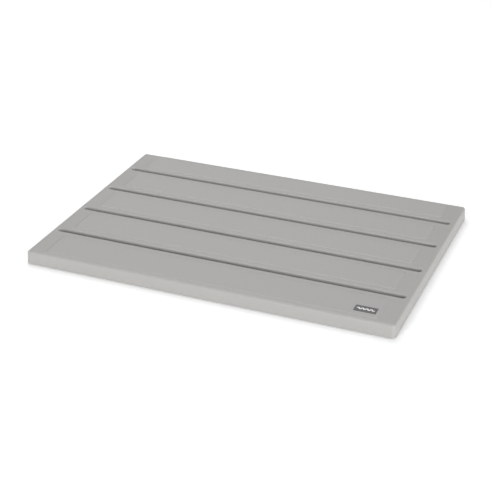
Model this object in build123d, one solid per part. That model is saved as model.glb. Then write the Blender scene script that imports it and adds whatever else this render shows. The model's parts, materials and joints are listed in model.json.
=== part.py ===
from build123d import *
import os

# Slatted shower board: a ribbed deck moulding with four drain slots, five inlaid
# tread pads, a small plate with a wave mark, and twelve push-in rubber feet.
# Millimetres. +X runs along the slats, -Y is the front edge, +Z is up. The origin
# is on the floor, under the middle of the board.

# --- driving dimensions -----------------------------------------------------------
BOARD_LENGTH = 500.0        # along X, at the foot of the skirt
BOARD_DEPTH = 350.0         # along Y, at the foot of the skirt
DRAFT = 4.2                 # degrees, how far the skirt leans in
SKIRT_HEIGHT = 17.5
FLOOR_GAP = 1.5             # the feet hold the skirt this far off the floor
CORNER_RADIUS = 5.0
TOP_ROUNDING = 3.0

PLATE_THICKNESS = 3.0
SKIRT_THICKNESS = 2.5
RIB_THICKNESS = 2.0
RIB_SETBACK = 2.0           # ribs end this far above the foot of the skirt
WEB_OVERLAP = 1.0           # ribs, bosses and slot lips run this far into the top plate

SLOT_COUNT = 4
SLOT_PITCH = 72.4
SLOT_WIDTH = 8.0
SLOT_LENGTH = 483.5
SLOT_SHIFT = 6.2            # the slots lie this far behind the middle, so the front slat is the widest
SLOT_ROUNDING = 1.5
LIP_DEPTH = 5.5             # slot walls reach this far below the top
LIP_THICKNESS = 2.0

PAD_LENGTH = 450.0
PAD_INSET = 8.5             # from a pad to the edge of its slat
PAD_PROUD = 0.6
PAD_SEAT_DEPTH = 1.2
PAD_GAP = 0.1
PAD_CORNER = 4.0
PAD_SLOPE = 63.0            # degrees from upright, how far a pad's raised edge leans in

PLATE_LENGTH = 28.0
PLATE_WIDTH = 14.0
PLATE_HEIGHT = 0.8
PLATE_PROUD = 0.2
PLATE_GAP = 0.15
PLATE_CORNER = 0.8
PLATE_END_INSET = 5.0       # from the plate to the right end of the front pad
PLATE_FRONT_INSET = 8.5     # from the plate to the front edge of the front pad

WAVE_RADIUS = 1.35
WAVE_STROKE = 1.6
WAVE_CRESTS = 8
WAVE_HEIGHT = 0.15

FOOT_COLUMNS = 4
FOOT_PITCH = 140.0          # along X, so that the feet stand midway between cross ribs
FOOT_DIAMETER = 20.0
FOOT_THICKNESS = 3.5
FOOT_ROUNDING = 0.8
STEM_DIAMETER = 6.0
STEM_LENGTH = 8.0
SOCKET_GAP = 0.1            # around the stem
SOCKET_END_GAP = 0.2        # past the stem's tip
BOSS_DIAMETER = 13.0

CROSS_RIB_PITCH = 70.0
CROSS_RIB_COUNT = 6
LONG_RIB_OFFSET = 22.0      # from a slat's middle to each of its two long ribs
RIB_DIP = 8.5               # cross ribs pass under a slot this far below the top

# --- derived places ---------------------------------------------------------------
TOP_Z = FLOOR_GAP + SKIRT_HEIGHT
PLATE_BOTTOM_Z = TOP_Z - PLATE_THICKNESS
RIB_BOTTOM_Z = FLOOR_GAP + RIB_SETBACK
PAD_TOP_Z = TOP_Z + PAD_PROUD
SLOT_MIDDLES = [SLOT_SHIFT + SLOT_PITCH * (i - (SLOT_COUNT - 1) / 2) for i in range(SLOT_COUNT)]


def slat_edges():
    """Front and back edge of each slat, front slat first."""
    fronts = [-BOARD_DEPTH / 2] + [y + SLOT_WIDTH / 2 for y in SLOT_MIDDLES]
    backs = [y - SLOT_WIDTH / 2 for y in SLOT_MIDDLES] + [BOARD_DEPTH / 2]
    return list(zip(fronts, backs))


def block(x0, x1, y0, y1, z0, z1):
    """Box between two opposite corners."""
    middle = Pos((x0 + x1) / 2, (y0 + y1) / 2, (z0 + z1) / 2)
    return middle * Box(x1 - x0, y1 - y0, z1 - z0)


def top_edges(solid):
    """Edges of a solid's highest flat face."""
    return solid.faces().sort_by(Axis.Z)[-1].edges()


# --- deck moulding ----------------------------------------------------------------
def deck_tray():
    """Upside-down tray with a drafted skirt and a rounded top edge."""
    outside = RectangleRounded(BOARD_LENGTH, BOARD_DEPTH, CORNER_RADIUS)
    tray = Pos(0, 0, FLOOR_GAP) * extrude(outside, SKIRT_HEIGHT, taper=DRAFT)
    tray = fillet(top_edges(tray), TOP_ROUNDING)
    wall = 2 * SKIRT_THICKNESS
    inside = RectangleRounded(BOARD_LENGTH - wall, BOARD_DEPTH - wall, CORNER_RADIUS - SKIRT_THICKNESS)
    hollow = Pos(0, 0, FLOOR_GAP) * extrude(inside, SKIRT_HEIGHT - PLATE_THICKNESS, taper=DRAFT)
    return tray - hollow


def slot_lips():
    """Down-turned wall around each slot, still solid in the middle."""
    lips = []
    for y in SLOT_MIDDLES:
        outline = SlotOverall(SLOT_LENGTH + 2 * LIP_THICKNESS, SLOT_WIDTH + 2 * LIP_THICKNESS)
        lips.append(Pos(0, y, TOP_Z - LIP_DEPTH) * extrude(outline, LIP_DEPTH - PLATE_THICKNESS + WEB_OVERLAP))
    return lips


def slot_cutters():
    """The drain slots themselves."""
    return [Pos(0, y, TOP_Z - LIP_DEPTH) * extrude(SlotOverall(SLOT_LENGTH, SLOT_WIDTH), LIP_DEPTH)
            for y in SLOT_MIDDLES]


def foot_rows():
    """Y of the three rows of feet: under the front, middle and back slats."""
    edges = slat_edges()
    rows = [edges[0], edges[len(edges) // 2], edges[-1]]
    return [(front + back) / 2 for front, back in rows]


def foot_places():
    """Middle of each foot, front row first, left to right."""
    columns = [FOOT_PITCH * (i - (FOOT_COLUMNS - 1) / 2) for i in range(FOOT_COLUMNS)]
    return [(x, y) for y in foot_rows() for x in columns]


def long_ribs():
    """Two ribs along every slat."""
    half = BOARD_LENGTH / 2 - SKIRT_THICKNESS
    ribs = []
    for front, back in slat_edges():
        middle = (front + back) / 2
        for y in (middle - LONG_RIB_OFFSET, middle + LONG_RIB_OFFSET):
            ribs.append(block(-half, half, y - RIB_THICKNESS / 2, y + RIB_THICKNESS / 2,
                              RIB_BOTTOM_Z, PLATE_BOTTOM_Z + WEB_OVERLAP))
    return ribs


def cross_ribs():
    """Ribs from front to back, cut down where they pass under a slot."""
    half = BOARD_DEPTH / 2 - SKIRT_THICKNESS
    top = PLATE_BOTTOM_Z + WEB_OVERLAP
    dip = SLOT_WIDTH / 2 + LIP_THICKNESS
    ribs = []
    for i in range(CROSS_RIB_COUNT):
        x = CROSS_RIB_PITCH * (i - (CROSS_RIB_COUNT - 1) / 2)
        rib = block(x - RIB_THICKNESS / 2, x + RIB_THICKNESS / 2, -half, half, RIB_BOTTOM_Z, top)
        for y in SLOT_MIDDLES:
            rib -= block(x - RIB_THICKNESS, x + RIB_THICKNESS, y - dip, y + dip, TOP_Z - RIB_DIP, TOP_Z)
        ribs.append(rib)
    return ribs


def foot_bosses():
    """Round bosses that the feet's stems push into."""
    height = PLATE_BOTTOM_Z + WEB_OVERLAP - FOOT_THICKNESS
    return [Pos(x, y, FOOT_THICKNESS + height / 2) * Cylinder(BOSS_DIAMETER / 2, height)
            for x, y in foot_places()]


def foot_sockets():
    """Blind holes in the bosses."""
    depth = STEM_LENGTH + SOCKET_END_GAP
    return [Pos(x, y, FOOT_THICKNESS + depth / 2) * Cylinder(STEM_DIAMETER / 2 + SOCKET_GAP, depth)
            for x, y in foot_places()]


def pad_outline(front, back, gap):
    """Plan of a tread pad, or of its seat when gap is the hairline around it."""
    width = back - front - 2 * PAD_INSET + 2 * gap
    return Pos(0, (front + back) / 2) * RectangleRounded(PAD_LENGTH + 2 * gap, width, PAD_CORNER + gap)


def pad_seats():
    """Shallow recesses that the tread pads are bedded in."""
    return [Pos(0, 0, TOP_Z - PAD_SEAT_DEPTH) * extrude(pad_outline(front, back, PAD_GAP), PAD_SEAT_DEPTH)
            for front, back in slat_edges()]


def deck_shell():
    """The whole deck moulding."""
    deck = deck_tray() + slot_lips() + long_ribs() + cross_ribs() + foot_bosses()
    deck = deck - slot_cutters() - foot_sockets()
    top_face = deck.faces().sort_by(Axis.Z)[-1]
    rims = [edge for wire in top_face.inner_wires() for edge in wire.edges()]
    deck = fillet(rims, SLOT_ROUNDING)
    return deck - pad_seats()


# --- tread pads and nameplate -----------------------------------------------------
def nameplate_place():
    """Middle of the nameplate, near the right end of the front pad."""
    x = PAD_LENGTH / 2 - PLATE_END_INSET - PLATE_LENGTH / 2
    y = -BOARD_DEPTH / 2 + PAD_INSET + PLATE_FRONT_INSET + PLATE_WIDTH / 2
    return x, y


def nameplate_block(gap, bottom, top):
    """The nameplate's plan between two heights."""
    x, y = nameplate_place()
    outline = RectangleRounded(PLATE_LENGTH + 2 * gap, PLATE_WIDTH + 2 * gap, PLATE_CORNER + gap)
    return Pos(x, y, bottom) * extrude(outline, top - bottom)


def tread_pad(front, back):
    """One inlaid pad: upright sides in its seat, sloping ones above the deck."""
    outline = pad_outline(front, back, 0)
    bedded = Pos(0, 0, TOP_Z - PAD_SEAT_DEPTH) * extrude(outline, PAD_SEAT_DEPTH)
    return bedded + Pos(0, 0, TOP_Z) * extrude(outline, PAD_PROUD, taper=PAD_SLOPE)


def nameplate():
    """Blank dark plate, a little proud of the pad."""
    top = PAD_TOP_Z + PLATE_PROUD
    return nameplate_block(0, top - PLATE_HEIGHT, top)


def nameplate_wave():
    """Raised wavy line across the plate, made of half rings."""
    x, y = nameplate_place()
    outer = WAVE_RADIUS + WAVE_STROKE / 2
    inner = WAVE_RADIUS - WAVE_STROKE / 2
    wave = Sketch()
    for i in range(WAVE_CRESTS):
        side = 1 if i % 2 == 0 else -1
        centre = Pos(2 * WAVE_RADIUS * (i - (WAVE_CRESTS - 1) / 2), 0)
        half = Pos(0, side * outer / 2) * Rectangle(2 * outer, outer)
        wave += centre * ((Circle(outer) - Circle(inner)) & half)
    return Pos(x, y, PAD_TOP_Z + PLATE_PROUD) * extrude(wave, WAVE_HEIGHT)


# --- feet -------------------------------------------------------------------------
def rubber_foot():
    """Round foot with a push-in stem, standing at the origin."""
    disc = Pos(0, 0, FOOT_THICKNESS / 2) * Cylinder(FOOT_DIAMETER / 2, FOOT_THICKNESS)
    disc = fillet(disc.faces().sort_by(Axis.Z)[0].edges(), FOOT_ROUNDING)
    stem = Pos(0, 0, FOOT_THICKNESS + STEM_LENGTH / 2) * Cylinder(STEM_DIAMETER / 2, STEM_LENGTH)
    stem = chamfer(stem.faces().sort_by(Axis.Z)[-1].edges(), FOOT_ROUNDING)
    return disc + stem


# --- the assembly -----------------------------------------------------------------
def all_nodes():
    """Every sub-part by name."""
    nodes = {"deck_shell": deck_shell()}
    for number, (front, back) in enumerate(slat_edges(), start=1):
        nodes[f"tread_pad_{number}"] = tread_pad(front, back)
    pocket = nameplate_block(PLATE_GAP, PAD_TOP_Z + PLATE_PROUD - PLATE_HEIGHT, PAD_TOP_Z + PLATE_PROUD)
    nodes["tread_pad_1"] -= pocket
    nodes["nameplate"] = nameplate()
    nodes["nameplate_wave"] = nameplate_wave()
    for number, (x, y) in enumerate(foot_places(), start=1):
        nodes[f"rubber_foot_{number:02d}"] = Pos(x, y, 0) * rubber_foot()
    return nodes


os.makedirs("parts", exist_ok=True)
for name, shape in all_nodes().items():
    export_step(shape, f"parts/{name}.step")
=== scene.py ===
import json
import math

import bpy
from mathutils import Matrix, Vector


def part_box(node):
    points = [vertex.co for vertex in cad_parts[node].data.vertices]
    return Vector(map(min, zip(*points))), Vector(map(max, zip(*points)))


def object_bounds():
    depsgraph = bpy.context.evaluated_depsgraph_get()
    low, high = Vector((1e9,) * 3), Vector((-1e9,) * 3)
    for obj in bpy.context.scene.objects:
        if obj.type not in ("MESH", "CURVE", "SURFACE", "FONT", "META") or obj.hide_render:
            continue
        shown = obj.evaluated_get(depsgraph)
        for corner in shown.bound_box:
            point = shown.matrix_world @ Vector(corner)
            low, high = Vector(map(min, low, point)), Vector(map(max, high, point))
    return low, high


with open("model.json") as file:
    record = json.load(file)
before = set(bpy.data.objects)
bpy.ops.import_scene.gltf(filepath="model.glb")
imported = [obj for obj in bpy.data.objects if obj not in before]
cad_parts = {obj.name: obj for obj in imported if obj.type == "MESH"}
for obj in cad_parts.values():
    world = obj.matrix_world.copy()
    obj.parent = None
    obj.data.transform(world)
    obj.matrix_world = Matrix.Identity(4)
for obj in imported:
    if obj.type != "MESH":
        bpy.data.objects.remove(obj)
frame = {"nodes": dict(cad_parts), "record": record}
cad_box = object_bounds()
nodes = frame["nodes"]

# --- camera: where the picture is taken from ------------------------------------------
AZIMUTH = 22.36             # degrees, from straight in front towards the right end
ELEVATION = 27.48
DISTANCE = 3.403            # board lengths from the aim point
AIM_LEFT = 0.0049           # board lengths that the aim point lies left of the middle
AIM_FORWARD = 0.0425        # board lengths that it lies in front of the middle
LENS = 92.69                # mm, on a sensor 36 mm wide

# --- colours, linear ------------------------------------------------------------------
DECK_COLOUR = (0.378, 0.371, 0.361)
PAD_COLOUR = (0.394, 0.388, 0.381)
PLATE_COLOUR = (0.105, 0.105, 0.107)
MARK_COLOUR = (0.82, 0.82, 0.81)
RUBBER_COLOUR = (0.060, 0.060, 0.063)
FLOOR_COLOUR = (0.86, 0.86, 0.86)

# --- light and floor ------------------------------------------------------------------
WORLD_STRENGTH = 0.37
FLOOR_GLOW = 0.26           # the floor is lit from below, like a light table, except under the board
GLOW_FADE = 0.02            # metres, from the board's outline inwards
FLOOR_REACH = 12.0          # metres, from the middle to each side of the floor

# --- surface patterns -----------------------------------------------------------------
FLAT_DOT = 0.995            # softened and true normal agree this well on a flat face
EDGE_DOT = 0.85             # and this little on an edge
OPEN_AO = 0.9               # share of open sky where no painted crevice shade is put
DEEP_AO = 0.1               # share where the painted crevice shade is darkest


def place_camera():
    """Camera at the picture's angle, aimed near the middle of the board's foot."""
    low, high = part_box("deck_shell")
    length = high.x - low.x
    aim = Vector(((low.x + high.x) / 2 - AIM_LEFT * length,
                  (low.y + high.y) / 2 - AIM_FORWARD * length,
                  low.z))
    az = math.radians(AZIMUTH)
    el = math.radians(ELEVATION)
    back = Vector((math.sin(az) * math.cos(el), -math.cos(az) * math.cos(el), math.sin(el)))
    data = bpy.data.cameras.new("camera")
    data.lens = LENS
    data.sensor_width = 36.0
    data.clip_start = 0.05
    data.clip_end = 20.0
    camera = bpy.data.objects.new("camera", data)
    bpy.context.scene.collection.objects.link(camera)
    camera.location = aim + back * DISTANCE * length
    camera.rotation_euler = (-back).to_track_quat("-Z", "Y").to_euler()
    bpy.context.scene.camera = camera


# --- materials ------------------------------------------------------------------------
class Shader:
    """One node material, with short names for the nodes that build it. Patterns are in metres."""

    def __init__(self, name):
        self.material = bpy.data.materials.new(name)
        self.material.use_nodes = True
        self.tree = self.material.node_tree
        self.surface = self.tree.nodes["Principled BSDF"]
        self.place = self.tree.nodes.new("ShaderNodeTexCoord").outputs["Object"]
        self.normal = None

    def node(self, kind, *links, **settings):
        """New node. links go to its inputs in order; settings are inputs by name or properties."""
        made = self.tree.nodes.new(kind)
        for key, value in settings.items():
            if key in made.inputs:
                made.inputs[key].default_value = value
            else:
                setattr(made, key, value)
        for socket, value in zip(made.inputs, links):
            self.put(value, socket)
        return made

    def put(self, value, socket):
        """Sets a socket to a number or links it to an output."""
        if isinstance(value, (int, float)):
            socket.default_value = value
        else:
            self.tree.links.new(value, socket)

    def stretch(self, x, y, z):
        """The place coordinates scaled along each axis."""
        mapping = self.node("ShaderNodeMapping", self.place)
        mapping.inputs["Scale"].default_value = (x, y, z)
        return mapping.outputs["Vector"]

    def noise(self, size, detail=2.0, place=None):
        """Soft random pattern from 0 to 1 with features about size metres across."""
        made = self.node("ShaderNodeTexNoise", place or self.place, Scale=1 / size, Detail=detail)
        return made.outputs["Fac"]

    def pebbles(self, size):
        """Height of close-packed round grains about size metres across."""
        made = self.node("ShaderNodeTexVoronoi", self.place, feature="SMOOTH_F1", Scale=1 / size)
        return self.band(made.outputs["Distance"], 0.0, 0.7, 1.0, 0.0)

    def band(self, value, low, high, out_low=0.0, out_high=1.0):
        """value, taken smoothly from between low and high to between out_low and out_high."""
        made = self.node("ShaderNodeMapRange", value, low, high, out_low, out_high,
                         interpolation_type="SMOOTHSTEP")
        return made.outputs["Result"]

    def calc(self, operation, a, b):
        """Result of a maths node."""
        return self.node("ShaderNodeMath", a, b, operation=operation).outputs["Value"]

    def total(self, start, terms):
        """start plus each pattern times its amount, a pattern of 0.5 changing nothing."""
        value = start - sum(amount * 0.5 for pattern, amount in terms)
        for pattern, amount in terms:
            value = self.calc("ADD", self.calc("MULTIPLY", pattern, amount), value)
        return value

    def edges(self, radius):
        """1 on convex and concave edges within radius, 0 on flat faces."""
        soft = self.node("ShaderNodeBevel", Radius=radius, samples=6).outputs["Normal"]
        true = self.node("ShaderNodeNewGeometry").outputs["Normal"]
        dot = self.node("ShaderNodeVectorMath", soft, true, operation="DOT_PRODUCT").outputs["Value"]
        return self.band(dot, FLAT_DOT, EDGE_DOT)

    def crevices(self, distance):
        """1 deep in gaps narrower than distance, 0 in the open."""
        made = self.node("ShaderNodeAmbientOcclusion", Distance=distance, samples=8)
        return self.band(made.outputs["AO"], OPEN_AO, DEEP_AO)

    def bump(self, height, depth):
        """Adds a relief, depth metres from its lowest to its highest, over those before it."""
        made = self.node("ShaderNodeBump", Distance=depth, Strength=1.0)
        self.tree.links.new(height, made.inputs["Height"])
        if self.normal:
            self.tree.links.new(self.normal, made.inputs["Normal"])
        self.normal = made.outputs["Normal"]

    def finish(self, colour, shade, roughness):
        """Colour times a shade pattern, a roughness, and the relief."""
        made = self.node("ShaderNodeVectorMath", operation="SCALE")
        made.inputs["Vector"].default_value = colour
        self.put(shade, made.inputs["Scale"])
        self.tree.links.new(made.outputs["Vector"], self.surface.inputs["Base Color"])
        self.put(roughness, self.surface.inputs["Roughness"])
        if self.normal:
            self.tree.links.new(self.normal, self.surface.inputs["Normal"])
        return self.material


def deck_plastic():
    """Satin moulded plastic: spark-eroded grain, faint clouding, a painted highlight and less roughness on
    edges, painted shade and more roughness in crevices.
    """
    s = Shader("deck_plastic")
    s.surface.inputs["IOR"].default_value = 1.49
    cloud = s.noise(size=0.090, detail=3.0)
    flow = s.noise(size=0.020, detail=2.0, place=s.stretch(x=0.25, y=1.0, z=1.0))
    grain = s.noise(size=0.0007, detail=3.0)
    # painted highlight: the colour is made lighter along convex and concave edges, and the roughness lower
    # there
    painted_edge_highlight = s.edges(radius=0.0005)
    # painted shade: the colour is darkened deep in gaps and slots, and the roughness raised there
    painted_crevice_shade = s.crevices(distance=0.006)
    shade = s.total(1.0, [(cloud, 0.030), (flow, 0.018), (grain, 0.050)])
    shade = s.calc("ADD", shade, s.calc("MULTIPLY", painted_edge_highlight, 0.03))
    shade = s.calc("SUBTRACT", shade, s.calc("MULTIPLY", painted_crevice_shade, 0.34))
    rough = s.total(0.46, [(cloud, 0.05), (flow, 0.06), (grain, 0.10)])
    rough = s.calc("SUBTRACT", rough, s.calc("MULTIPLY", painted_edge_highlight, 0.10))
    rough = s.calc("ADD", rough, s.calc("MULTIPLY", painted_crevice_shade, 0.25))
    s.bump(s.noise(size=0.045, detail=1.0), depth=0.00012)
    s.bump(grain, depth=0.000025)
    return s.finish(DECK_COLOUR, shade, rough)


def tread_plastic():
    """The pads' finish: a little duller than the deck, with a fine pebbled grip texture."""
    s = Shader("tread_pad")
    s.surface.inputs["IOR"].default_value = 1.47
    cloud = s.noise(size=0.070, detail=3.0)
    pebble = s.pebbles(size=0.0010)
    speck = s.noise(size=0.0004, detail=2.0)
    scuff = s.noise(size=0.006, detail=4.0, place=s.stretch(x=1.0, y=0.2, z=1.0))
    # painted shade: the colour is darkened in narrow gaps
    painted_crevice_shade = s.crevices(distance=0.002)
    # painted highlight: the colour is made lighter along edges
    painted_edge_highlight = s.edges(radius=0.0003)
    shade = s.total(1.0, [(cloud, 0.026), (pebble, 0.030), (speck, 0.040), (scuff, 0.012)])
    shade = s.calc("ADD", shade, s.calc("MULTIPLY", painted_edge_highlight, 0.05))
    shade = s.calc("SUBTRACT", shade, s.calc("MULTIPLY", painted_crevice_shade, 0.18))
    rough = s.total(0.54, [(cloud, 0.04), (pebble, -0.10), (scuff, 0.07)])
    s.bump(s.noise(size=0.060, detail=1.0), depth=0.00010)
    s.bump(pebble, depth=0.000035)
    s.bump(speck, depth=0.000010)
    return s.finish(PAD_COLOUR, shade, rough)


def plate_film():
    """Dark satin film with very fine lengthwise brushing."""
    s = Shader("plate_film")
    brush = s.noise(size=0.0004, detail=3.0, place=s.stretch(x=0.04, y=1.0, z=1.0))
    cloud = s.noise(size=0.008, detail=2.0)
    # painted highlight: the colour is made lighter along edges
    painted_edge_highlight = s.edges(radius=0.0003)
    shade = s.total(1.0, [(brush, 0.16), (cloud, 0.08)])
    shade = s.calc("ADD", shade, s.calc("MULTIPLY", painted_edge_highlight, 0.25))
    rough = s.total(0.36, [(brush, 0.16), (cloud, 0.05)])
    s.bump(brush, depth=0.000006)
    return s.finish(PLATE_COLOUR, shade, rough)


def mark_ink():
    """Pale ink, slightly uneven."""
    s = Shader("mark_ink")
    blotch = s.noise(size=0.0012, detail=3.0)
    shade = s.total(1.0, [(blotch, 0.07)])
    rough = s.total(0.42, [(blotch, 0.14)])
    s.bump(blotch, depth=0.000010)
    return s.finish(MARK_COLOUR, shade, rough)


def foot_rubber():
    """Matte dark rubber with a fine pitted skin and a painted highlight along its edges."""
    s = Shader("foot_rubber")
    pits = s.noise(size=0.0005, detail=4.0)
    bloom = s.noise(size=0.006, detail=3.0)
    # painted highlight: the colour is made lighter along edges
    painted_edge_highlight = s.edges(radius=0.0006)
    shade = s.total(1.0, [(pits, 0.22), (bloom, 0.25)])
    shade = s.calc("ADD", shade, s.calc("MULTIPLY", painted_edge_highlight, 0.35))
    rough = s.total(0.78, [(pits, 0.10), (bloom, 0.12)])
    s.bump(pits, depth=0.00003)
    return s.finish(RUBBER_COLOUR, shade, rough)


def make_materials():
    """Gives every CAD node its finish."""
    finishes = {"deck_plastic": deck_plastic, "tread_pad": tread_plastic, "plate_film": plate_film,
                "mark_ink": mark_ink, "foot_rubber": foot_rubber}
    made = {slot: make() for slot, make in finishes.items()}
    for part in frame["record"]["subparts"]:
        mesh = nodes[part["node"]].data
        mesh.materials.clear()
        mesh.materials.append(made[part["material_slot"]])


# --- stage ----------------------------------------------------------------------------
def glow_pattern(s):
    """The floor's glow: full outside the board's outline, fading to none under it."""
    high = cad_box[1]
    split = s.node("ShaderNodeSeparateXYZ", s.place)
    beyond_x = s.calc("SUBTRACT", s.calc("ABSOLUTE", split.outputs["X"], 0.0), high[0])
    beyond_y = s.calc("SUBTRACT", s.calc("ABSOLUTE", split.outputs["Y"], 0.0), high[1])
    beyond = s.calc("MAXIMUM", beyond_x, beyond_y)
    return s.band(beyond, -GLOW_FADE, 0.0, 0.0, FLOOR_GLOW)


def make_floor():
    """Wide pale floor under the board."""
    mesh = bpy.data.meshes.new("floor")
    far = FLOOR_REACH
    corners = [(-far, -far, 0), (far, -far, 0), (far, far, 0), (-far, far, 0)]
    mesh.from_pydata(corners, [], [(0, 1, 2, 3)])
    floor = bpy.data.objects.new("floor", mesh)
    bpy.context.scene.collection.objects.link(floor)
    floor.location.z = cad_box[0][2]
    s = Shader("floor")
    s.surface.inputs["Specular IOR Level"].default_value = 0.0
    s.surface.inputs["Emission Color"].default_value = (1, 1, 1, 1)
    s.put(glow_pattern(s), s.surface.inputs["Emission Strength"])
    cloud = s.noise(size=0.4, detail=2.0)
    mesh.materials.append(s.finish(FLOOR_COLOUR, s.total(1.0, [(cloud, 0.01)]), 0.9))


def softbox(name, azimuth, elevation, distance, size, power):
    """Square area light aimed at the board. Azimuth 0 is in front, 90 off the right end."""
    az = math.radians(azimuth)
    el = math.radians(elevation)
    out = Vector((math.sin(az) * math.cos(el), -math.cos(az) * math.cos(el), math.sin(el)))
    data = bpy.data.lights.new(name, "AREA")
    data.size = size
    data.energy = power
    light = bpy.data.objects.new(name, data)
    bpy.context.scene.collection.objects.link(light)
    light.location = out * distance
    light.rotation_euler = (-out).to_track_quat("-Z", "Y").to_euler()


def light_scene():
    """Soft white room with softboxes low in front, low at the right, above the back, behind on the left."""
    world = bpy.data.worlds.new("studio")
    world.use_nodes = True
    world.node_tree.nodes["Background"].inputs["Color"].default_value = (1, 1, 1, 1)
    world.node_tree.nodes["Background"].inputs["Strength"].default_value = WORLD_STRENGTH
    bpy.context.scene.world = world
    softbox("front_box", azimuth=-10, elevation=19, distance=4.0, size=1.1, power=70)
    softbox("right_box", azimuth=70, elevation=14, distance=4.0, size=2.2, power=97)
    softbox("top_box", azimuth=204, elevation=60, distance=1.6, size=1.0, power=9)
    softbox("back_box", azimuth=240, elevation=50, distance=2.0, size=1.3, power=4.5)
    bpy.context.scene.view_settings.view_transform = "Standard"


place_camera()
make_materials()
make_floor()
light_scene()
